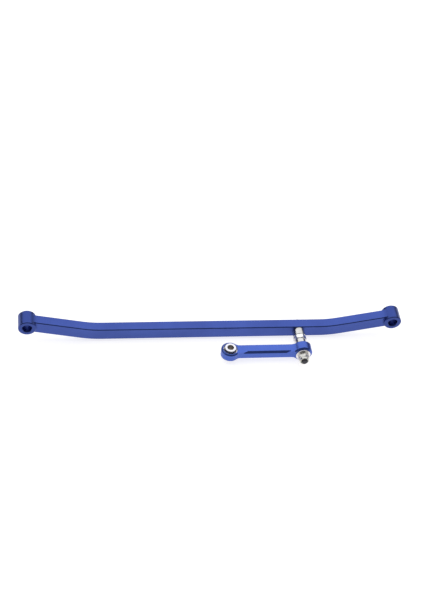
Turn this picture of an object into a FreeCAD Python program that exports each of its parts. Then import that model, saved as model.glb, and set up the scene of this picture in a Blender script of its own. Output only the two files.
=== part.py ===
import FreeCAD, Part
import math
import os

# Steering tie bar with a short drag link, for a large-scale model truck. Millimetres, +Z up.
# The origin is the centre of the left eye's bore, +X runs to the right eye and every eye bore
# of the bar runs along Y. The drag link hangs on a screw that sticks out of the bar's front (-Y).

V = FreeCAD.Vector
X_AXIS = V(1, 0, 0)
Y_AXIS = V(0, 1, 0)
Z_AXIS = V(0, 0, 1)
FRONT = V(0, -1, 0)
OVERSHOOT = 1.0            # how far a cutting tool runs past the face that it enters
SAME = 1e-6                # places closer than this are one place

# tie bar
EYE_SPACING = 176.0
BAR_HEIGHT = 6.5           # across the bar, in the plane of its bends
BAR_DEPTH = 5.2            # along Y
BAR_DROP = 6.6             # middle centreline below the eye centres
BAR_BEND_X = 30.4          # from an eye centre to the nearest bend
BEND_R = 45.0              # centreline radius of a bend
BAR_EDGE = 0.35            # chamfer on the bar's long edges
EYE_R = 4.2
EYE_BORE_R = 2.2
EYE_LENGTH = 8.0
EYE_EDGE = 0.3
EYE_FILLET_R = 7.0         # where the bar runs into the eye

# screw and the stack on it, from the bar's front face towards -Y
PIVOT_X = 130.3
SCREW_R = 1.5
SCREW_LENGTH = 25.0
SCREW_TIP = 0.3            # chamfer on the screw's end
HEAD_R = 2.85
HEAD_HEIGHT = 1.65
SOCKET_FLATS = 2.0
SOCKET_DEPTH = 1.05
CLEARANCE_R = 1.6          # plain holes that the screw passes through
FINE_EDGE = 0.15           # chamfer on the small turned parts
SPACER_R = 3.0
SPACER_LENGTH = 3.8
NUT_FLATS = 5.5
NUT_HEIGHT = 2.4
NUT_TURN_DEG = 12.0
NUT_CONE_DEG = 30.0        # slope of the cone that the nuts' corners are turned to
SLEEVE_R = 2.6
SLEEVE_SHOULDER = 3.38     # from the clamp nut to the link
END_PLAY = 0.05            # link to shoulder and link to washer
JOURNAL_R = 2.1
WASHER_R = 3.5
WASHER_THICK = 0.5
WASHER_EDGE = 0.08
LOCK_NUT_FLATS = 4.5       # the narrow pattern of lock nut
LOCK_NUT_HEIGHT = 3.7
LOCK_NUT_TURN_DEG = 20.0
LOCK_HEX_HEIGHT = 2.5
CROWN_R = 2.15
CROWN_SHOULDER = 0.4       # height of the slope round the crown's end
INSERT_R = 1.9
INSERT_HEIGHT = 1.0
CROWN_LIP = 0.15           # metal rolled over the insert

# drag link
LINK_LENGTH = 35.1
LINK_DEPTH = 5.2           # along Y
LINK_HEIGHT = 4.6          # along Z
LINK_BEVEL = 0.92
SLANT_LONG = 8.3           # from an eye's centre to a slanted bevel, on the face that is plain there
SLANT_SHORT = 6.0          # the same, on the face that widens
SLANT_OVERRUN = 0.4        # how far a slanted end runs on past both faces, over its own length
PIVOT_EYE_R = 4.5
PIVOT_BORE_R = 2.13
PIVOT_FLARE_R = 3.6
BALL_EYE_R = 4.35
BALL_FLARE_R = 3.2
LINK_RIM = 0.6             # chamfer round both eyes and along the shank's other two edges
SHARP_FROM_BALL = 2.8      # from an eye's centre to where a bevelled edge has no such chamfer
SHARP_FROM_PIVOT = 4.2
RIDGE_DEPTH = 1.6          # how deep and how high that edge's ridge is taken
RIDGE_RISE = 3.0
TOOL_LIFT = 2.0
BORE_EDGE = 0.25

# ball joint, heights from the ball's centre
BALL_R = 2.9
BALL_GAP = 0.05
BALL_TOP = 3.2
BALL_BOTTOM = 2.6
FLANGE_R = 2.75
FLANGE_THICK = 0.8
NECK_R = 2.05
BALL_BORE_R = 1.5
BALL_BORE_EDGE = 0.1
SEAT_R = 3.45
SEAT_HALF_HEIGHT = 1.05
LIP_R = 3.0                # the eye's own lip under the lower seat
RING_INNER_R = 2.95
RING_OUTER_R = 3.6
RING_THICK = 0.35
RING_GAP_DEG = 28.0
GROOVE_GAP = 0.02

BAR_Z = -BAR_DROP
BEND_DEG = math.degrees(math.atan2(BAR_DROP, BAR_BEND_X))
REAR_Y = BAR_DEPTH / 2
SPACER_Y = -BAR_DEPTH / 2
CLAMP_NUT_Y = SPACER_Y - SPACER_LENGTH
SLEEVE_Y = CLAMP_NUT_Y - NUT_HEIGHT
SHOULDER_Y = SLEEVE_Y - SLEEVE_SHOULDER
LINK_Y = SHOULDER_Y - END_PLAY - LINK_DEPTH / 2
WASHER_Y = LINK_Y - LINK_DEPTH / 2 - END_PLAY
LOCK_NUT_Y = WASHER_Y - WASHER_THICK
INSERT_Y = LOCK_NUT_Y - LOCK_NUT_HEIGHT + CROWN_LIP + INSERT_HEIGHT
BALL_CENTRE = V(PIVOT_X - LINK_LENGTH, LINK_Y, BAR_Z)
PIVOT_CENTRE = V(PIVOT_X, LINK_Y, BAR_Z)


def cylinder(radius, length, start, axis):
    return Part.makeCylinder(radius, length, start, axis)


def on_screw(y):
    return V(PIVOT_X, y, BAR_Z)


def hexagon(flats, height, start, axis, corner_deg=0.0):
    """Hexagonal prism; corner_deg turns its first corner about its axis."""
    radius = flats / math.sqrt(3)
    corners = []
    for i in range(7):
        angle = math.radians(60 * i + corner_deg)
        corners.append(V(radius * math.cos(angle), radius * math.sin(angle), 0))
    prism = Part.Face(Part.makePolygon(corners)).extrude(V(0, 0, height))
    prism.Placement = FreeCAD.Placement(start, FreeCAD.Rotation(Z_AXIS, axis))
    return prism


def turned(profile, start, axis):
    """Solid of revolution from (radius, height) points, stood on start along axis."""
    points = [V(radius, 0, height) for radius, height in profile]
    face = Part.Face(Part.makePolygon(points + points[:1]))
    solid = face.revolve(V(0, 0, 0), Z_AXIS, 360)
    solid.Placement = FreeCAD.Placement(start, FreeCAD.Rotation(Z_AXIS, axis))
    return solid


def chamfered_cylinder(radius, length, edge, start, axis):
    profile = [(0, 0), (radius - edge, 0), (radius, edge), (radius, length - edge),
               (radius - edge, length), (0, length)]
    return turned(profile, start, axis)


def bore_tool(radius, length, edge, start, axis):
    """Cutter for a through bore with both mouths chamfered."""
    profile = [(0, -OVERSHOOT), (radius + edge + OVERSHOOT, -OVERSHOOT), (radius, edge),
               (radius, length - edge), (radius + edge + OVERSHOOT, length + OVERSHOOT),
               (0, length + OVERSHOOT)]
    return turned(profile, start, axis)


def arc_edge(centre, radius, start_deg, mid_deg, end_deg, plane):
    points = []
    for degrees in (start_deg, mid_deg, end_deg):
        angle = math.radians(degrees)
        first = centre[0] + radius * math.cos(angle)
        second = centre[1] + radius * math.sin(angle)
        points.append(plane(first, second))
    return Part.Arc(*points).toShape()


def bar_blank():
    """The bar's constant section along its bent centreline, end to end between the eyes."""
    tangent = BEND_R * math.tan(math.radians(BEND_DEG) / 2)
    slope = math.radians(BEND_DEG)
    along = V(math.cos(slope), 0, math.sin(slope))
    rise = V(-math.sin(slope), 0, math.cos(slope))
    half = BAR_HEIGHT / 2
    bend_right = V(EYE_SPACING - BAR_BEND_X, 0, BAR_Z)
    eye_right = V(EYE_SPACING, 0, 0)
    middle = V(EYE_SPACING / 2, 0, BAR_Z)
    arc_centre = bend_right + V(-tangent, 0, BEND_R)
    edges = []
    corners = []
    for side in (1, -1):
        radius = BEND_R - side * half
        start = arc_centre + V(0, 0, -radius)
        middle_of_arc = arc_centre + V(math.sin(slope / 2), 0, -math.cos(slope / 2)) * radius
        end = arc_centre + V(math.sin(slope), 0, -math.cos(slope)) * radius
        tip = eye_right + rise * (side * half)
        root = middle + Z_AXIS * (side * half)
        edges += [Part.LineSegment(root, start).toShape(),
                  Part.Arc(start, middle_of_arc, end).toShape(),
                  Part.LineSegment(end, tip).toShape()]
        corners += [root, tip]
    edges += [Part.LineSegment(corners[1], corners[3]).toShape(),
              Part.LineSegment(corners[2], corners[0]).toShape()]
    face = Part.Face(Part.Wire(Part.__sortEdges__(edges)))
    face.translate(V(0, -BAR_DEPTH / 2, 0))
    right_half = face.extrude(V(0, BAR_DEPTH, 0))
    left_half = right_half.mirror(V(EYE_SPACING / 2, 0, 0), X_AXIS)
    return right_half.fuse(left_half).removeSplitter()


def edges_along(shape, axis, near, reach):
    """Straight edges along an axis that lie within reach of a point, seen along that axis."""
    found = []
    for edge in shape.Edges:
        if len(edge.Vertexes) != 2 or not isinstance(edge.Curve, Part.Line):
            continue
        direction = edge.Vertexes[1].Point - edge.Vertexes[0].Point
        offset = edge.CenterOfMass - near
        offset = offset - axis * offset.dot(axis)
        if abs(direction.normalize().dot(axis)) > 0.999 and offset.Length < reach:
            found.append(edge)
    return found


def outline_edges(shape, y):
    """Every edge that lies in the plane at y."""
    def in_plane(edge):
        return abs(edge.BoundBox.YMin - y) < SAME and abs(edge.BoundBox.YMax - y) < SAME
    return [edge for edge in shape.Edges if in_plane(edge)]


def tie_bar():
    body = bar_blank()
    eyes = (V(0, 0, 0), V(EYE_SPACING, 0, 0))
    for eye in eyes:
        body = body.fuse(cylinder(EYE_R, BAR_DEPTH, eye + V(0, REAR_Y, 0), FRONT))
    body = body.removeSplitter()
    for eye in eyes:
        body = body.makeFillet(EYE_FILLET_R, edges_along(body, Y_AXIS, eye, EYE_R + SAME))
    body = body.makeChamfer(BAR_EDGE, outline_edges(body, REAR_Y) + outline_edges(body, -REAR_Y))
    for eye in eyes:
        barrel_start = eye + V(0, EYE_LENGTH / 2, 0)
        body = body.fuse(chamfered_cylinder(EYE_R, EYE_LENGTH, EYE_EDGE, barrel_start, FRONT))
        body = body.cut(bore_tool(EYE_BORE_R, EYE_LENGTH, EYE_EDGE, barrel_start, FRONT))
    start = on_screw(REAR_Y + OVERSHOOT)
    return body.cut(cylinder(SCREW_R, BAR_DEPTH + 2 * OVERSHOOT, start, FRONT))


def pivot_screw():
    """Button-head screw through the bar from the rear; its thread is left plain."""
    shank = chamfered_cylinder(SCREW_R, SCREW_LENGTH, SCREW_TIP, on_screw(REAR_Y), FRONT)
    dome_r = (HEAD_R ** 2 + HEAD_HEIGHT ** 2) / (2 * HEAD_HEIGHT)
    dome = Part.makeSphere(dome_r, on_screw(REAR_Y + HEAD_HEIGHT - dome_r))
    head = cylinder(HEAD_R, HEAD_HEIGHT, on_screw(REAR_Y), Y_AXIS).common(dome)
    mouth = on_screw(REAR_Y + HEAD_HEIGHT + OVERSHOOT)
    socket = hexagon(SOCKET_FLATS, SOCKET_DEPTH + OVERSHOOT, mouth, FRONT)
    return shank.fuse(head).cut(socket).removeSplitter()


def nut_blank(flats, height, y, corner_deg):
    """Hexagon with its corners turned down to a cone at both ends."""
    prism = hexagon(flats, height, on_screw(y), FRONT, corner_deg)
    flat_r = flats / 2
    outer_r = flats / math.sqrt(3) + SAME
    drop = (outer_r - flat_r) * math.tan(math.radians(NUT_CONE_DEG))
    cone = turned([(0, 0), (flat_r, 0), (outer_r, drop), (outer_r, height - drop),
                   (flat_r, height), (0, height)], on_screw(y), FRONT)
    return prism.common(cone)


def threaded_hole(length, y):
    return bore_tool(SCREW_R, length, BORE_EDGE, on_screw(y), FRONT)


def standoff_spacer():
    blank = chamfered_cylinder(SPACER_R, SPACER_LENGTH, FINE_EDGE, on_screw(SPACER_Y), FRONT)
    return blank.cut(bore_tool(CLEARANCE_R, SPACER_LENGTH, FINE_EDGE, on_screw(SPACER_Y), FRONT))


def clamp_nut():
    blank = nut_blank(NUT_FLATS, NUT_HEIGHT, CLAMP_NUT_Y, NUT_TURN_DEG)
    return blank.cut(threaded_hole(NUT_HEIGHT, CLAMP_NUT_Y))


def pivot_sleeve():
    """Shouldered sleeve: its thin end is the journal that the link turns on."""
    total = SLEEVE_Y - WASHER_Y
    edge = FINE_EDGE
    blank = turned([(0, 0), (SLEEVE_R - edge, 0), (SLEEVE_R, edge), (SLEEVE_R, SLEEVE_SHOULDER - edge),
                    (SLEEVE_R - edge, SLEEVE_SHOULDER), (JOURNAL_R, SLEEVE_SHOULDER),
                    (JOURNAL_R, total - edge), (JOURNAL_R - edge, total), (0, total)],
                   on_screw(SLEEVE_Y), FRONT)
    return blank.cut(bore_tool(CLEARANCE_R, total, edge, on_screw(SLEEVE_Y), FRONT))


def thrust_washer():
    blank = chamfered_cylinder(WASHER_R, WASHER_THICK, WASHER_EDGE, on_screw(WASHER_Y), FRONT)
    return blank.cut(bore_tool(CLEARANCE_R, WASHER_THICK, WASHER_EDGE, on_screw(WASHER_Y), FRONT))


def lock_nut():
    """Hexagon with a round crown that holds the nylon insert."""
    hexagonal = nut_blank(LOCK_NUT_FLATS, LOCK_HEX_HEIGHT, LOCK_NUT_Y, LOCK_NUT_TURN_DEG)
    crown = turned([(0, 0), (CROWN_R, 0), (CROWN_R, LOCK_NUT_HEIGHT - CROWN_SHOULDER),
                    (CROWN_R - CROWN_SHOULDER / 2, LOCK_NUT_HEIGHT), (0, LOCK_NUT_HEIGHT)],
                   on_screw(LOCK_NUT_Y), FRONT)
    body = hexagonal.fuse(crown).removeSplitter()
    body = body.cut(threaded_hole(LOCK_NUT_HEIGHT, LOCK_NUT_Y))
    body = body.cut(cylinder(INSERT_R, INSERT_HEIGHT, on_screw(INSERT_Y), FRONT))
    mouth_r = INSERT_R - CROWN_LIP
    return body.cut(cylinder(mouth_r, OVERSHOOT, on_screw(INSERT_Y - INSERT_HEIGHT), FRONT))


def nylon_insert():
    blank = cylinder(INSERT_R, INSERT_HEIGHT, on_screw(INSERT_Y), FRONT)
    return blank.cut(cylinder(SCREW_R, INSERT_HEIGHT, on_screw(INSERT_Y), FRONT))


def flared_profile(half_width, eye_r, flare_r, reach, plane):
    """Outline of a strip that widens through two concave arcs into a round eye at the origin.

    The strip runs along the first coordinate to reach; plane maps the two coordinates to 3-D.
    """
    flare_x = math.sqrt((eye_r + flare_r) ** 2 - (half_width + flare_r) ** 2)
    turn = math.degrees(math.atan2(half_width + flare_r, flare_x))
    touch = (eye_r * math.cos(math.radians(turn)), eye_r * math.sin(math.radians(turn)))
    upper = arc_edge((flare_x, half_width + flare_r), flare_r, 180 + turn, 225 + turn / 2, 270, plane)
    lower = arc_edge((flare_x, -half_width - flare_r), flare_r, 90, 135 - turn / 2, 180 - turn, plane)
    eye = Part.Arc(plane(touch[0], touch[1]), plane(-eye_r, 0), plane(touch[0], -touch[1])).toShape()
    strip = [(flare_x, half_width), (reach, half_width), (reach, -half_width), (flare_x, -half_width)]
    lines = [Part.LineSegment(plane(*a), plane(*b)).toShape() for a, b in zip(strip, strip[1:])]
    return Part.Face(Part.Wire(Part.__sortEdges__([upper, lower, eye] + lines)))


def bevel_tool(y_side, z_side):
    """Flat bevel on one long edge of the shank; both ends run out on a slanted ramp."""
    y_face = LINK_Y + y_side * LINK_DEPTH / 2
    z_face = BAR_Z + z_side * LINK_HEIGHT / 2
    left = BALL_CENTRE.x
    right = PIVOT_CENTRE.x
    ends = []
    for x_on_top, x_on_side in ((left + SLANT_LONG, left + SLANT_SHORT),
                                (right - SLANT_SHORT, right - SLANT_LONG)):
        on_top = V(x_on_top, y_face - y_side * LINK_BEVEL, z_face)
        on_side = V(x_on_side, y_face, z_face - z_side * LINK_BEVEL)
        run = (on_side - on_top) * SLANT_OVERRUN
        ends.append((on_top - run, on_side + run))
    (top_left, side_left), (top_right, side_right) = ends
    lift = V(0, y_side, z_side) * TOOL_LIFT
    ramp = X_AXIS * lift.Length
    foot = [top_left, side_left, side_right, top_right]
    head = [top_left - ramp + lift, side_left - ramp + lift, side_right + ramp + lift,
            top_right + ramp + lift]
    outlines = [foot, head]
    for here in range(4):
        after = (here + 1) % 4
        outlines.append([foot[here], foot[after], head[after], head[here]])
    faces = [Part.Face(Part.makePolygon(outline + outline[:1])) for outline in outlines]
    return Part.Solid(Part.Shell(faces))


def shank_edge(shape, y_side, z_side):
    """The straight edge of the shank on the given sides."""
    corner = V(0, LINK_Y + y_side * LINK_DEPTH / 2, BAR_Z + z_side * LINK_HEIGHT / 2)
    return edges_along(shape, X_AXIS, corner, SAME)


def sharp_ridge(y_side, z_side):
    """The ridge of the shank round one long edge, between the chamfers of both eyes.

    Its ends slope, so that each chamfer runs out on a ramp.
    """
    outward = V(0, y_side, z_side) / math.sqrt(2)
    across = V(0, -z_side, y_side) / math.sqrt(2)
    edge_height = (LINK_DEPTH + LINK_HEIGHT) / math.sqrt(8)
    length = LINK_LENGTH - SHARP_FROM_BALL - SHARP_FROM_PIVOT
    start = V(BALL_CENTRE.x + SHARP_FROM_BALL, LINK_Y, BAR_Z) - across * PIVOT_EYE_R
    outline = []
    for along, up in ((-RIDGE_DEPTH, -RIDGE_DEPTH), (length + RIDGE_DEPTH, -RIDGE_DEPTH),
                      (length - RIDGE_RISE, RIDGE_RISE), (RIDGE_RISE, RIDGE_RISE)):
        outline.append(start + X_AXIS * along + outward * (edge_height + up))
    face = Part.Face(Part.makePolygon(outline + outline[:1]))
    return face.extrude(across * (2 * PIVOT_EYE_R))


def drag_link():
    """One milled piece: its plan widens to the ball eye, its side view to the pivot eye."""
    def plan(x, y):
        return V(BALL_CENTRE.x + x, LINK_Y + y, BAR_Z - PIVOT_EYE_R - OVERSHOOT)

    def side(x, z):
        return V(PIVOT_CENTRE.x - x, LINK_Y - BALL_EYE_R - OVERSHOOT, BAR_Z + z)

    reach = LINK_LENGTH + 2 * PIVOT_EYE_R
    top_view = flared_profile(LINK_DEPTH / 2, BALL_EYE_R, BALL_FLARE_R, reach, plan)
    front_view = flared_profile(LINK_HEIGHT / 2, PIVOT_EYE_R, PIVOT_FLARE_R, reach, side)
    body = top_view.extrude(Z_AXIS * (2 * (PIVOT_EYE_R + OVERSHOOT)))
    body = body.common(front_view.extrude(Y_AXIS * (2 * (BALL_EYE_R + OVERSHOOT))))
    for sign in (1, -1):
        body = body.cut(bevel_tool(sign, -sign))
    plain = body
    body = body.makeChamfer(LINK_RIM, shank_edge(body, 1, 1) + shank_edge(body, -1, -1))
    for sign in (1, -1):
        body = body.fuse(plain.common(sharp_ridge(sign, -sign)))
    body = body.removeSplitter()
    rear = on_screw(LINK_Y + LINK_DEPTH / 2)
    body = body.cut(bore_tool(PIVOT_BORE_R, LINK_DEPTH, BORE_EDGE, rear, FRONT))
    floor = BALL_CENTRE - Z_AXIS * SEAT_HALF_HEIGHT
    body = body.cut(cylinder(SEAT_R, LINK_HEIGHT, floor, Z_AXIS))
    body = body.cut(cylinder(LIP_R, LINK_HEIGHT, floor + Z_AXIS, -Z_AXIS))
    groove = BALL_CENTRE + Z_AXIS * SEAT_HALF_HEIGHT
    return body.cut(cylinder(RING_OUTER_R + GROOVE_GAP, RING_THICK + GROOVE_GAP, groove, Z_AXIS))


def swivel_ball():
    """Drilled ball with a flange on top and a plain collar below."""
    waist = math.sqrt(BALL_R ** 2 - NECK_R ** 2)
    slab = Part.makeBox(3 * BALL_R, 3 * BALL_R, 2 * waist, V(-1.5 * BALL_R, -1.5 * BALL_R, -waist))
    body = Part.makeSphere(BALL_R).common(slab)
    edge = FINE_EDGE
    stem = turned([(0, -BALL_BOTTOM), (NECK_R - edge, -BALL_BOTTOM), (NECK_R, edge - BALL_BOTTOM),
                   (NECK_R, BALL_TOP - FLANGE_THICK), (FLANGE_R, BALL_TOP - FLANGE_THICK),
                   (FLANGE_R, BALL_TOP - edge), (FLANGE_R - edge, BALL_TOP), (0, BALL_TOP)],
                  V(0, 0, 0), Z_AXIS)
    body = body.fuse(stem).removeSplitter()
    height = BALL_TOP + BALL_BOTTOM
    bottom = V(0, 0, -BALL_BOTTOM)
    body = body.cut(bore_tool(BALL_BORE_R, height, BALL_BORE_EDGE, bottom, Z_AXIS))
    body.translate(BALL_CENTRE)
    return body


def ball_seat(side):
    """Half of the liner, above (1) or below (-1) the ball's middle."""
    blank = cylinder(SEAT_R, SEAT_HALF_HEIGHT, BALL_CENTRE, Z_AXIS * side)
    return blank.cut(Part.makeSphere(BALL_R + BALL_GAP, BALL_CENTRE))


def seat_ring():
    """Open snap ring over the upper seat."""
    start = BALL_CENTRE + Z_AXIS * SEAT_HALF_HEIGHT
    ring = cylinder(RING_OUTER_R, RING_THICK, start, Z_AXIS)
    ring = ring.cut(cylinder(RING_INNER_R, RING_THICK, start, Z_AXIS))
    wedge = Part.makeCylinder(2 * RING_OUTER_R, RING_THICK, V(0, 0, 0), Z_AXIS, RING_GAP_DEG)
    wedge.rotate(V(0, 0, 0), Z_AXIS, 180 - RING_GAP_DEG / 2)
    wedge.translate(start)
    return ring.cut(wedge)


NODES = {
    "tie_bar": tie_bar,
    "pivot_screw": pivot_screw,
    "standoff_spacer": standoff_spacer,
    "clamp_nut": clamp_nut,
    "pivot_sleeve": pivot_sleeve,
    "thrust_washer": thrust_washer,
    "lock_nut": lock_nut,
    "nylon_insert": nylon_insert,
    "drag_link": drag_link,
    "swivel_ball": swivel_ball,
    "ball_seat_upper": lambda: ball_seat(1),
    "ball_seat_lower": lambda: ball_seat(-1),
    "seat_ring": seat_ring,
}

os.makedirs("parts", exist_ok=True)
for node, build in NODES.items():
    shape = build()
    box = shape.BoundBox
    print("%-16s solids %d valid %s volume %.2f x %.2f..%.2f y %.2f..%.2f z %.2f..%.2f" % (
        node, len(shape.Solids), shape.isValid(), shape.Volume,
        box.XMin, box.XMax, box.YMin, box.YMax, box.ZMin, box.ZMax))
    shape.exportStep("parts/%s.step" % node)
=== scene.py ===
import math

import bmesh
import bpy
from mathutils import Matrix, Vector


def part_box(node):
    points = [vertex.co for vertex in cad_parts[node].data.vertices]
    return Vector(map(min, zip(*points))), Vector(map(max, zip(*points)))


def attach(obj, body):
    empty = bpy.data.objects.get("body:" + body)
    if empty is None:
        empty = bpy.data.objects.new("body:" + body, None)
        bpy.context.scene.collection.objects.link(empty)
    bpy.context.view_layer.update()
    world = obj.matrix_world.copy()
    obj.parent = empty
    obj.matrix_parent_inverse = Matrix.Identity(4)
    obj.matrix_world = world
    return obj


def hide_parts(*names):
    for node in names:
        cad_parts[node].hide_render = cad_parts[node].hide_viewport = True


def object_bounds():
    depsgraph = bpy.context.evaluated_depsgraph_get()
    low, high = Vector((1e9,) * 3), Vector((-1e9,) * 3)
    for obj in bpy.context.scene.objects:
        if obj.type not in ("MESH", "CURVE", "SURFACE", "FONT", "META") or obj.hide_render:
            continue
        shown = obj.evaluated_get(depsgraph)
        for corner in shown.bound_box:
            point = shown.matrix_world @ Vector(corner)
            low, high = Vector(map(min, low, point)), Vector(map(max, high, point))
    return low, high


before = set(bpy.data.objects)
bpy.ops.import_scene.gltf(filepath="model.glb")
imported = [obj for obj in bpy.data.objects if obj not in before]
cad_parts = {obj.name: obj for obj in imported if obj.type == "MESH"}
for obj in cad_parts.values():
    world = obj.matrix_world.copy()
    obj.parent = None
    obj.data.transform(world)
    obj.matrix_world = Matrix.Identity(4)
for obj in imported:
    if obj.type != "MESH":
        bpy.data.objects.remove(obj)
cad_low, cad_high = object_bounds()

# Steering tie bar with a short drag link, in metres. The frame gives the places and the outer sizes.
MM = 0.001
Y_AXIS, Z_AXIS = (0, 1, 0), (0, 0, 1)

# camera
CAMERA_PLACE = Vector((-8.696, -422.739, 464.481)) * MM
CAMERA_YAW = math.radians(12.6495)
CAMERA_PITCH = math.radians(46.1328)
CAMERA_ROLL = math.radians(8.4263)
CAMERA_LENS = 79.78            # mm, for a 36 mm sensor


# ---------------------------------------------------------------- materials

class Shader:
    """A material built round its Principled shader, with short ways to add and join nodes."""

    def __init__(self, name, **sockets):
        self.material = bpy.data.materials.new(name)
        self.material.use_nodes = True
        self.tree = self.material.node_tree
        self.bsdf = self.tree.nodes["Principled BSDF"]
        for socket, value in sockets.items():
            self.bsdf.inputs[socket.replace("_", " ")].default_value = value
        self.place = self.add("ShaderNodeTexCoord").outputs["Object"]

    def add(self, kind, inputs=(), **settings):
        node = self.tree.nodes.new(kind)
        for key, value in settings.items():
            setattr(node, key, value)
        for socket, value in dict(inputs).items():
            if isinstance(value, bpy.types.NodeSocket):
                self.tree.links.new(value, node.inputs[socket])
            else:
                node.inputs[socket].default_value = value
        return node

    def maths(self, operation, a, b=0.0):
        return self.add("ShaderNodeMath", {0: a, 1: b}, operation=operation).outputs[0]

    def vector(self, operation, a, b=(0, 0, 0)):
        node = self.add("ShaderNodeVectorMath", {0: a, 1: b}, operation=operation)
        return node.outputs["Value" if operation in ("LENGTH", "DOT_PRODUCT") else "Vector"]

    def spread(self, value, low, high, to_low=0.0, to_high=1.0):
        node = self.add("ShaderNodeMapRange", {"Value": value, "From Min": low, "From Max": high,
                                               "To Min": to_low, "To Max": to_high})
        return node.outputs["Result"]

    def noise(self, scale, detail=3.0, rough=0.5, stretch=(1, 1, 1)):
        """3-D noise; scale is per metre, and a large stretch squeezes it along that axis."""
        at = self.vector("MULTIPLY", self.place, stretch)
        return self.add("ShaderNodeTexNoise", {"Vector": at, "Scale": scale, "Detail": detail,
                                               "Roughness": rough}).outputs["Fac"]

    def lines(self, along, scale, detail=2.0):
        """Fine irregular lines wherever the value along is the same."""
        return self.add("ShaderNodeTexNoise", {"W": along, "Scale": scale, "Detail": detail},
                        noise_dimensions="1D").outputs["Fac"]

    def mix(self, factor, a, b, blend="MIX"):
        node = self.add("ShaderNodeMix", data_type="RGBA", blend_type=blend)
        for index, value in ((0, factor), (6, a), (7, b)):
            if isinstance(value, bpy.types.NodeSocket):
                self.tree.links.new(value, node.inputs[index])
            else:
                node.inputs[index].default_value = value
        return node.outputs[2]

    def edges(self, radius, low=0.02, high=0.2):
        """1 along sharp edges, 0 on flat faces."""
        rounded = self.add("ShaderNodeBevel", {"Radius": radius}, samples=6).outputs["Normal"]
        flat = self.add("ShaderNodeNewGeometry").outputs["Normal"]
        bend = self.maths("SUBTRACT", 1.0, self.vector("DOT_PRODUCT", rounded, flat))
        return self.spread(bend, low, high)

    def bump(self, height, distance, strength=1.0, before=None):
        inputs = {"Height": height, "Distance": distance, "Strength": strength}
        if before is not None:
            inputs["Normal"] = before
        return self.add("ShaderNodeBump", inputs).outputs["Normal"]

    def rounded(self, radius):
        """The normal of a shape whose sharp edges are worn round."""
        return self.add("ShaderNodeBevel", {"Radius": radius}, samples=6).outputs["Normal"]

    def finish(self, **links):
        for socket, value in links.items():
            self.tree.links.new(value, self.bsdf.inputs[socket.replace("_", " ")])
        return self.material


def rgb(red, green, blue):
    return (red, green, blue, 1.0)


def axis_marks(shader, point, axis):
    """The distances along a turning axis and from it."""
    offset = shader.vector("SUBTRACT", shader.place, tuple(point))
    along = shader.vector("DOT_PRODUCT", offset, tuple(axis))
    flat = tuple(Vector((1, 1, 1)) - Vector(axis))
    across = shader.vector("LENGTH", shader.vector("MULTIPLY", offset, flat))
    return along, across


def eye_painted_shade(shader, colour, centre, half_spacing, barrel_r):
    """Painted shade on the two turned eyes of the bar: their colour is darkened to stand in for their
    darker reflection.
    """
    parts = shader.add("ShaderNodeSeparateXYZ", {0: shader.place}).outputs
    along = shader.maths("ABSOLUTE", shader.maths("SUBTRACT", parts["X"], centre.x))
    along = shader.maths("SUBTRACT", along, half_spacing)
    up = shader.maths("SUBTRACT", parts["Z"], centre.z)
    offset = shader.add("ShaderNodeCombineXYZ", {"X": along, "Z": up}).outputs[0]
    reach = shader.vector("LENGTH", offset)
    # painted shade: the colour within the eyes' radius is multiplied darker, standing in for their
    # darker reflection
    barrel_painted_shade = shader.spread(reach, barrel_r + 1.0 * MM, barrel_r - 0.3 * MM)
    return shader.mix(barrel_painted_shade, colour, rgb(0.74, 0.74, 0.76), "MULTIPLY")


MILL_R = 9 * MM                # the face mill's arcs on the anodised sides


def anodised(name, base, deep, worn, sweep_z, eyes=None, coat=0.03):
    """Dyed anodised aluminium: satin, with the arcs of a face mill on its sides."""
    shader = Shader(name, Metallic=1.0, Coat_Weight=coat, Coat_Roughness=0.25)
    parts = shader.add("ShaderNodeSeparateXYZ", {0: shader.place}).outputs
    height = shader.maths("ADD", parts["Z"], -sweep_z)
    reach = shader.maths("SUBTRACT", MILL_R ** 2, shader.maths("MULTIPLY", height, height))
    arc = shader.maths("SQRT", shader.maths("MAXIMUM", reach, 0.0))
    sweep = shader.maths("SUBTRACT", parts["X"], arc)
    marks = shader.lines(sweep, 2600.0)
    cloud = shader.noise(55.0, 3.0)
    grain = shader.noise(7000.0, 2.0)
    wear = shader.spread(shader.noise(900.0), 0.35, 0.65, 0.1, 0.5)
    edge = shader.maths("MULTIPLY", shader.edges(0.14 * MM), wear)
    colour = shader.mix(shader.spread(cloud, 0.3, 0.7), deep, base)
    colour = shader.mix(shader.spread(marks, 0.3, 0.8, 0.0, 0.22), colour, deep)
    # painted shade on the bar's two turned eyes, standing in for their darker reflection
    if eyes:
        colour = eye_painted_shade(shader, colour, *eyes)
    colour = shader.mix(edge, colour, worn)
    uneven = shader.maths("ADD", shader.maths("MULTIPLY", marks, 0.5), grain)
    rough = shader.spread(uneven, 0.5, 1.0, 0.28, 0.40)
    normal = shader.bump(marks, 0.004 * MM, 0.5, shader.rounded(0.1 * MM))
    normal = shader.bump(grain, 0.004 * MM, 0.6, normal)
    return shader.finish(Base_Color=colour, Roughness=rough, Normal=normal)


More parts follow.
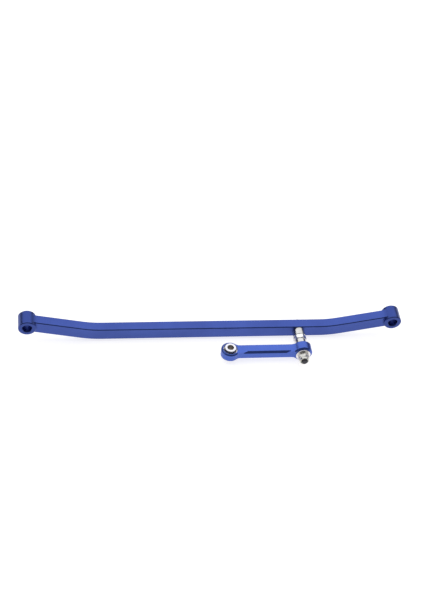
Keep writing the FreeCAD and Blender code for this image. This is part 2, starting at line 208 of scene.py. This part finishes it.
def turned_steel(name, base, deep, point, axis, rough=(0.14, 0.26), bore_r=None):
    """Bright steel off a lathe: fine rings round its axis on sides and faces, and a rougher bore whose
    colour is darkened with painted shade.
    """
    shader = Shader(name, Metallic=1.0)
    along, across = axis_marks(shader, point, axis)
    marks = shader.lines(shader.maths("ADD", along, across), 5200.0, 3.0)
    cloud = shader.noise(420.0, 4.0, 0.6)
    colour = shader.mix(shader.spread(cloud, 0.3, 0.7), deep, base)
    colour = shader.mix(shader.spread(marks, 0.45, 0.75, 0.0, 0.25), colour, deep)
    wear = shader.maths("MULTIPLY", shader.edges(0.1 * MM), 0.3)
    colour = shader.mix(wear, colour, rgb(0.92, 0.92, 0.92))
    roughness = shader.spread(marks, 0.3, 0.7, *rough)
    if bore_r:
        # the bore is rougher, and painted shade darkens its colour inside the hole
        bore_roughness_and_shade = shader.spread(across, bore_r + 0.12 * MM, bore_r + 0.04 * MM)
        colour = shader.mix(bore_roughness_and_shade, colour, rgb(0.42, 0.39, 0.34), "MULTIPLY")
        roughness = shader.maths("ADD", roughness, shader.maths("MULTIPLY", bore_roughness_and_shade, 0.25))
    normal = shader.bump(marks, 0.004 * MM, 0.6, shader.rounded(0.08 * MM))
    return shader.finish(Base_Color=colour, Roughness=roughness, Normal=normal)


def plated_steel(name, base, deep, point, axis, rough=(0.2, 0.36)):
    """Nickel-plated steel: rings on the faces that turn into lines on the flats, cloudy plating."""
    shader = Shader(name, Metallic=1.0)
    marks = shader.lines(axis_marks(shader, point, axis)[1], 4200.0, 3.0)
    cloud = shader.noise(600.0, 5.0, 0.65)
    colour = shader.mix(shader.spread(cloud, 0.3, 0.7), deep, base)
    wear = shader.maths("MULTIPLY", shader.edges(0.1 * MM), 0.4)
    colour = shader.mix(wear, colour, rgb(0.9, 0.9, 0.88))
    relief = shader.maths("ADD", marks, cloud)
    normal = shader.bump(relief, 0.005 * MM, 0.5, shader.rounded(0.08 * MM))
    roughness = shader.spread(cloud, 0.3, 0.7, *rough)
    return shader.finish(Base_Color=colour, Roughness=roughness, Normal=normal)


def black_oxide(name):
    """Chemically blackened steel, worn on its edges."""
    shader = Shader(name, Metallic=0.85, Specular_IOR_Level=0.4)
    cloud = shader.noise(900.0, 4.0, 0.6)
    grain = shader.noise(9000.0, 2.0)
    wear = shader.spread(cloud, 0.4, 0.7, 0.05, 0.5)
    edge = shader.maths("MULTIPLY", shader.edges(0.06 * MM), wear)
    colour = shader.mix(cloud, rgb(0.03, 0.03, 0.035), rgb(0.07, 0.068, 0.078))
    colour = shader.mix(edge, colour, rgb(0.3, 0.29, 0.28))
    normal = shader.bump(grain, 0.004 * MM, 0.6)
    roughness = shader.spread(cloud, 0.3, 0.7, 0.32, 0.5)
    return shader.finish(Base_Color=colour, Roughness=roughness, Normal=normal)


def moulded(name, base, deep, rough, soft=0.0):
    """Machined or moulded plastic."""
    shader = Shader(name, Subsurface_Weight=soft, Subsurface_Scale=0.4 * MM)
    cloud = shader.noise(700.0, 3.0)
    grain = shader.noise(6500.0, 3.0)
    colour = shader.mix(shader.spread(cloud, 0.3, 0.7), deep, base)
    normal = shader.bump(grain, 0.008 * MM, 0.6)
    roughness = shader.spread(grain, 0.3, 0.7, *rough)
    return shader.finish(Base_Color=colour, Roughness=roughness, Normal=normal)


bar_low, bar_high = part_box("tie_bar")
screw_low, screw_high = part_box("pivot_screw")
stack = (screw_low + screw_high) / 2
ball_low, ball_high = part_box("swivel_ball")
ball = (ball_low + ball_high) / 2

EYE_R = 4.2 * MM               # the two eyes at the bar's ends
BALL_BORE_R = 1.5 * MM
bar_eyes = (Vector(((bar_low.x + bar_high.x) / 2, 0, bar_high.z - EYE_R)),
            (bar_high.x - bar_low.x) / 2 - EYE_R, EYE_R)
finishes = {
    "tie_bar": anodised("bar_anodised", rgb(0.062, 0.1, 0.36), rgb(0.05, 0.081, 0.3),
                        rgb(0.3, 0.34, 0.5), stack.z, bar_eyes, coat=0.0),
    "drag_link": anodised("link_anodised", rgb(0.08, 0.14, 0.5), rgb(0.066, 0.115, 0.42),
                          rgb(0.3, 0.36, 0.55), stack.z),
    "standoff_spacer": turned_steel("spacer_steel", rgb(0.65, 0.64, 0.62), rgb(0.5, 0.48, 0.45),
                                    stack, Y_AXIS),
    "pivot_sleeve": turned_steel("sleeve_steel", rgb(0.7, 0.69, 0.67), rgb(0.53, 0.51, 0.48),
                                 stack, Y_AXIS),
    "swivel_ball": turned_steel("ball_steel", rgb(0.78, 0.76, 0.78), rgb(0.69, 0.67, 0.69),
                                ball, Z_AXIS, (0.1, 0.18), BALL_BORE_R),
    "clamp_nut": plated_steel("clamp_nut_plate", rgb(0.9, 0.88, 0.84), rgb(0.74, 0.72, 0.68),
                              stack, Y_AXIS),
    "thrust_washer": plated_steel("washer_plate", rgb(0.9, 0.88, 0.88), rgb(0.7, 0.68, 0.68),
                                  stack, Y_AXIS),
    "lock_nut": plated_steel("lock_nut_plate", rgb(0.66, 0.64, 0.58), rgb(0.48, 0.46, 0.42),
                             stack, Y_AXIS),
    "seat_ring": plated_steel("ring_plate", rgb(0.72, 0.66, 0.58), rgb(0.52, 0.47, 0.41),
                              ball, Z_AXIS),
    "pivot_screw": black_oxide("screw_oxide"),
    "nylon_insert": moulded("insert_nylon", rgb(0.78, 0.77, 0.72), rgb(0.68, 0.66, 0.6),
                            (0.35, 0.5), 0.25),
    "ball_seat_upper": moulded("seat_liner", rgb(0.55, 0.54, 0.55), rgb(0.45, 0.44, 0.45),
                               (0.4, 0.55)),
}
finishes["ball_seat_lower"] = finishes["ball_seat_upper"]
for node, finish in finishes.items():
    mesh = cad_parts[node].data
    if mesh.materials:
        for index in range(len(mesh.materials)):
            mesh.materials[index] = finish
    else:
        mesh.materials.append(finish)

# ---------------------------------------------------------------- pieces with finer shapes than the CAD

NUT_STEPS = 72                 # vertices round a turned piece
SCREW_STEPS = 36               # vertices round the thread
CREASE = math.radians(28)      # sharper edges than this stay sharp
REAR_Y = 2.6 * MM              # the bar's rear face, under the screw's head

NUT_CONE = math.tan(math.radians(30))
NUT_FACE_INSET = 0.1 * MM      # from the flats to the round edge of a nut's face
BORE_R = 1.5 * MM
BORE_MOUTH_R = 1.7 * MM
BORE_MOUTH = 0.2 * MM          # depth of the countersink at a bore's end
CLAMP_FLATS, CLAMP_TURN_DEG = 5.5 * MM, 12
LOCK_FLATS, LOCK_TURN_DEG = 4.5 * MM, 20
LOCK_HEX_HEIGHT = 2.5 * MM
CROWN_R = 2.15 * MM
CROWN_ROLL = 0.32 * MM         # radius of the crown's rolled edge
ROLL_STEPS = 6

THREAD_PITCH = 0.5 * MM
THREAD_R = 1.5 * MM
THREAD_ROOT_R = 1.193 * MM
THREAD_TIP_R = 1.15 * MM       # where the screw's end is chamfered to
THREAD_FORM = ((0.0, 0.0), (0.25, 0.0), (0.5625, 1.0), (0.6875, 1.0))    # along a pitch, up to the crest
SAME = 1e-6
CUT_SAME = 1e-7

NECK_R = 1.45 * MM             # under the head
HEAD_EDGE = 0.12 * MM
SOCKET_FLATS = 2.0 * MM
SOCKET_DEPTH = 1.05 * MM
SOCKET_MOUTH_R = 1.28 * MM
SOCKET_CONE = 0.15 * MM        # depth of the drilled end below the hexagon
SOCKET_CENTRE_R = 0.3 * MM
DOME_STEPS = 12

INSERT_EDGE = 0.05 * MM


def hexagon(flats, corner_deg):
    """Radius of a hexagon in each direction round its axis."""
    def radius(degrees):
        return flats / 2 / math.cos(math.radians((degrees - corner_deg) % 60 - 30))
    return radius


def circle(radius):
    """The same radius in each direction."""
    return lambda degrees: radius


def add_ring(form, at, steps, height, radius):
    """Vertices round the stack's axis; height runs to the front and may follow the direction."""
    ring = []
    for step in range(steps):
        degrees = 360 * step / steps
        angle = math.radians(degrees)
        depth = height(degrees) if callable(height) else height
        reach = radius(degrees)
        place = at + Vector((reach * math.cos(angle), -depth, reach * math.sin(angle)))
        ring.append(form.verts.new(place))
    return ring


def join_rings(form, rings, closed):
    """Faces from each ring to the next one, and from the last to the first if it is closed."""
    pairs = list(zip(rings, rings[1:]))
    if closed:
        pairs.append((rings[-1], rings[0]))
    for near, far in pairs:
        for step in range(len(near)):
            after = (step + 1) % len(near)
            form.faces.new((near[step], near[after], far[after], far[step]))


def make_piece(name, form, node):
    """Turns the form into an object that stands for a CAD node and rides with its body."""
    bmesh.ops.recalc_face_normals(form, faces=form.faces)
    for face in form.faces:
        face.smooth = True
    for edge in form.edges:
        if len(edge.link_faces) == 2 and edge.calc_face_angle() > CREASE:
            edge.smooth = False
    mesh = bpy.data.meshes.new(name)
    form.to_mesh(mesh)
    form.free()
    mesh.materials.append(finishes[node])
    piece = bpy.data.objects.new(name, mesh)
    bpy.context.scene.collection.objects.link(piece)
    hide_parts(node)
    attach(piece, "bar")


def nut_rings(form, at, height, flats, corner_deg):
    """The hexagon's outside, with curved chamfers where a cone cuts its corners."""
    face_r = flats / 2 - NUT_FACE_INSET
    outside = hexagon(flats, corner_deg)

    def drop(degrees):
        return (outside(degrees) - face_r) * NUT_CONE

    def lower_drop(degrees):
        return height - drop(degrees)

    return [add_ring(form, at, NUT_STEPS, 0.0, circle(face_r)),
            add_ring(form, at, NUT_STEPS, drop, outside),
            add_ring(form, at, NUT_STEPS, lower_drop, outside),
            add_ring(form, at, NUT_STEPS, height, circle(face_r))]


def round_rings(form, at, spots):
    """Rings of the depths and radii in spots."""
    return [add_ring(form, at, NUT_STEPS, depth, circle(radius)) for depth, radius in spots]


def clamp_nut():
    """Plain hexagon nut with a countersink at both ends of its bore."""
    low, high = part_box("clamp_nut")
    at = Vector((stack.x, high.y, stack.z))
    height = high.y - low.y
    form = bmesh.new()
    rings = nut_rings(form, at, height, CLAMP_FLATS, CLAMP_TURN_DEG)
    rings += round_rings(form, at, ((height, BORE_MOUTH_R), (height - BORE_MOUTH, BORE_R),
                                    (BORE_MOUTH, BORE_R), (0.0, BORE_MOUTH_R)))
    join_rings(form, rings, True)
    make_piece("clamp_nut_turned", form, "clamp_nut")


def lock_nut():
    """Hexagon, round crown rolled over the insert, and the bore with the insert's pocket."""
    low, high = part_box("lock_nut")
    insert_low, insert_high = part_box("nylon_insert")
    at = Vector((stack.x, high.y, stack.z))
    height = high.y - low.y
    pocket = high.y - insert_high.y
    pocket_end = high.y - insert_low.y
    pocket_r = (insert_high.x - insert_low.x) / 2
    flat_r = CROWN_R - CROWN_ROLL
    form = bmesh.new()
    rings = nut_rings(form, at, LOCK_HEX_HEIGHT, LOCK_FLATS, LOCK_TURN_DEG)
    spots = [(LOCK_HEX_HEIGHT + 0.02 * MM, CROWN_R + 0.04 * MM), (LOCK_HEX_HEIGHT + 0.1 * MM, CROWN_R)]
    for part in range(ROLL_STEPS + 1):
        angle = math.radians(90 * part / ROLL_STEPS)
        spots.append((height - CROWN_ROLL + CROWN_ROLL * math.sin(angle),
                      flat_r + CROWN_ROLL * math.cos(angle)))
    spots += [(height - 0.02 * MM, flat_r - 0.03 * MM), (pocket_end, flat_r - 0.08 * MM),
              (pocket_end, pocket_r), (pocket, pocket_r), (pocket, BORE_R),
              (BORE_MOUTH, BORE_R), (0.0, BORE_MOUTH_R)]
    rings += round_rings(form, at, spots)
    join_rings(form, rings, True)
    make_piece("lock_nut_rolled", form, "lock_nut")


def thread(form, tip, length):
    """Helical thread from the tip to length, cut square and closed at both ends."""
    per_turn = len(THREAD_FORM)
    turns = math.ceil(length / THREAD_PITCH) + 3
    columns = []
    for step in range(SCREW_STEPS):
        turned = step / SCREW_STEPS
        angle = 2 * math.pi * turned
        column = []
        for turn in range(-2, turns):
            for share, crest in THREAD_FORM:
                depth = (turn + share + turned) * THREAD_PITCH
                reach = THREAD_ROOT_R + crest * (THREAD_R - THREAD_ROOT_R)
                reach = min(reach, THREAD_TIP_R + max(depth, 0.0))
                spot = Vector((reach * math.cos(angle), depth, reach * math.sin(angle)))
                column.append(form.verts.new(tip + spot))
        columns.append(column)
    for step in range(SCREW_STEPS):
        near, far = columns[step], columns[(step + 1) % SCREW_STEPS]
        shift = per_turn if step == SCREW_STEPS - 1 else 0
        for row in range(len(near) - 1 - shift):
            form.faces.new((near[row], far[row + shift], far[row + shift + 1], near[row + 1]))
    for at, outward in ((tip, -1), (tip + Vector((0, length, 0)), 1)):
        everything = form.verts[:] + form.edges[:] + form.faces[:]
        bmesh.ops.bisect_plane(form, geom=everything, dist=CUT_SAME, plane_co=at,
                               plane_no=(0, outward, 0), clear_outer=True)
        rim = [edge for edge in form.edges if edge.is_boundary
               and all(abs(end.co.y - at.y) < SAME for end in edge.verts)]
        bmesh.ops.contextual_create(form, geom=rim)


def button_head(form, rear, height, radius):
    """Domed head with a hexagon socket, from the under-head face at rear."""
    dome_r = (radius ** 2 + height ** 2) / (2 * height)
    socket = hexagon(SOCKET_FLATS, 0)
    floor = height - SOCKET_DEPTH
    spots = [(0.0, circle(NECK_R)), (0.0, circle(radius - HEAD_EDGE)), (-HEAD_EDGE, circle(radius))]
    for part in range(1, DOME_STEPS + 1):
        reach = radius + (SOCKET_MOUTH_R - radius) * part / DOME_STEPS
        rise = math.sqrt(dome_r ** 2 - reach ** 2) - (dome_r - height)
        spots.append((-max(rise, HEAD_EDGE + 0.01 * MM), circle(reach)))
    top = spots[-1][0]
    spots += [(top + 0.1 * MM, socket), (-floor, socket),
              (-(floor - SOCKET_CONE), circle(SOCKET_CENTRE_R))]
    rings = [add_ring(form, rear, NUT_STEPS, depth, shape) for depth, shape in spots]
    join_rings(form, rings, False)
    form.faces.new(rings[0])
    form.faces.new(rings[-1])


def pivot_screw():
    """Button-head screw from the bar's rear to the end of the stack."""
    tip = Vector((stack.x, screw_low.y, stack.z))
    rear = Vector((stack.x, REAR_Y, stack.z))
    form = bmesh.new()
    thread(form, tip, REAR_Y - screw_low.y)
    button_head(form, rear, screw_high.y - REAR_Y, (screw_high.x - screw_low.x) / 2)
    make_piece("pivot_screw_threaded", form, "pivot_screw")


def nylon_insert():
    """Insert with a rounded mouth, pressed onto the thread."""
    low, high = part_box("nylon_insert")
    at = Vector((stack.x, high.y, stack.z))
    height = high.y - low.y
    outer = (high.x - low.x) / 2
    inner = BORE_R - 0.04 * MM
    form = bmesh.new()
    spots = [(0.0, outer - INSERT_EDGE), (INSERT_EDGE, outer), (height - INSERT_EDGE, outer),
             (height, outer - INSERT_EDGE), (height, 1.62 * MM), (height - 0.06 * MM, 1.52 * MM),
             (height - 0.2 * MM, inner), (0.2 * MM, inner), (0.0, 1.55 * MM)]
    join_rings(form, round_rings(form, at, spots), True)
    make_piece("nylon_insert_rounded", form, "nylon_insert")


clamp_nut()
lock_nut()
pivot_screw()
nylon_insert()

# ---------------------------------------------------------------- floor, light and camera

FLOOR_RADIUS = 2.5
FLOOR_STEPS = 96
CEILING_Y, CEILING_Z = 0.85, 0.8
CEILING_WIDTH, CEILING_DEPTH = 2.8, 2.1
CEILING_RADIANCE = 1.2
ROOM_LIGHT = 0.2


def floor_disc():
    """Pale paper that glows a little, at the height of the part's lowest point."""
    form = bmesh.new()
    bmesh.ops.create_circle(form, cap_ends=True, segments=FLOOR_STEPS, radius=FLOOR_RADIUS)
    mesh = bpy.data.meshes.new("floor")
    form.to_mesh(mesh)
    form.free()
    piece = bpy.data.objects.new("floor", mesh)
    bpy.context.scene.collection.objects.link(piece)
    piece.location = ((cad_low.x + cad_high.x) / 2, 0, cad_low.z)
    shader = Shader("floor_paper", Specular_IOR_Level=0.2, Emission_Strength=0.8)
    shader.bsdf.inputs["Emission Color"].default_value = rgb(0.98, 0.97, 0.99)
    fibre = shader.noise(900.0, 4.0, 0.6)
    colour = shader.mix(fibre, rgb(0.55, 0.54, 0.49), rgb(0.59, 0.58, 0.53))
    roughness = shader.spread(fibre, 0.3, 0.7, 0.7, 0.85)
    normal = shader.bump(fibre, 0.02 * MM, 0.3)
    mesh.materials.append(shader.finish(Base_Color=colour, Roughness=roughness, Normal=normal))


def ceiling():
    """One large softbox overhead, behind the part, facing down."""
    light = bpy.data.lights.new("ceiling", "AREA")
    light.shape = "RECTANGLE"
    light.size = CEILING_WIDTH
    light.size_y = CEILING_DEPTH
    light.energy = CEILING_RADIANCE * math.pi * CEILING_WIDTH * CEILING_DEPTH
    light.color = (0.94, 0.965, 1.0)
    lamp = bpy.data.objects.new("ceiling", light)
    bpy.context.scene.collection.objects.link(lamp)
    lamp.location = ((cad_low.x + cad_high.x) / 2, CEILING_Y, CEILING_Z)
    lamp.rotation_euler = Vector((0, 0, -1)).to_track_quat("-Z", "Y").to_euler()
    lamp.visible_camera = False


def room():
    """A dim room round the softbox; a camera ray that leaves it sees plain white."""
    world = bpy.data.worlds.new("room")
    bpy.context.scene.world = world
    world.use_nodes = True
    tree = world.node_tree
    dim = tree.nodes["Background"]
    dim.inputs["Color"].default_value = rgb(0.9, 0.93, 1.0)
    dim.inputs["Strength"].default_value = ROOM_LIGHT
    white = tree.nodes.new("ShaderNodeBackground")
    white.inputs["Color"].default_value = rgb(1, 1, 1)
    seen = tree.nodes.new("ShaderNodeLightPath").outputs["Is Camera Ray"]
    either = tree.nodes.new("ShaderNodeMixShader")
    tree.links.new(seen, either.inputs[0])
    tree.links.new(dim.outputs[0], either.inputs[1])
    tree.links.new(white.outputs[0], either.inputs[2])
    tree.links.new(either.outputs[0], tree.nodes["World Output"].inputs["Surface"])


def camera():
    """Looks down at the part from the front and a little from the left, as the photo does."""
    flat = math.cos(CAMERA_PITCH)
    forward = Vector((math.sin(CAMERA_YAW) * flat, math.cos(CAMERA_YAW) * flat, -math.sin(CAMERA_PITCH)))
    level = Vector((math.cos(CAMERA_YAW), -math.sin(CAMERA_YAW), 0))
    upright = level.cross(forward)
    right = math.cos(CAMERA_ROLL) * level + math.sin(CAMERA_ROLL) * upright
    up = math.cos(CAMERA_ROLL) * upright - math.sin(CAMERA_ROLL) * level
    data = bpy.data.cameras.new("camera")
    data.lens = CAMERA_LENS
    data.sensor_width = 36.0
    data.clip_start, data.clip_end = 0.01, 20.0
    eye = bpy.data.objects.new("camera", data)
    bpy.context.scene.collection.objects.link(eye)
    turn = Matrix((right, up, -forward)).transposed().to_4x4()
    eye.matrix_world = Matrix.Translation(CAMERA_PLACE) @ turn
    bpy.context.scene.camera = eye


floor_disc()
room()
ceiling()
camera()
bpy.context.scene.view_settings.view_transform = "Standard"
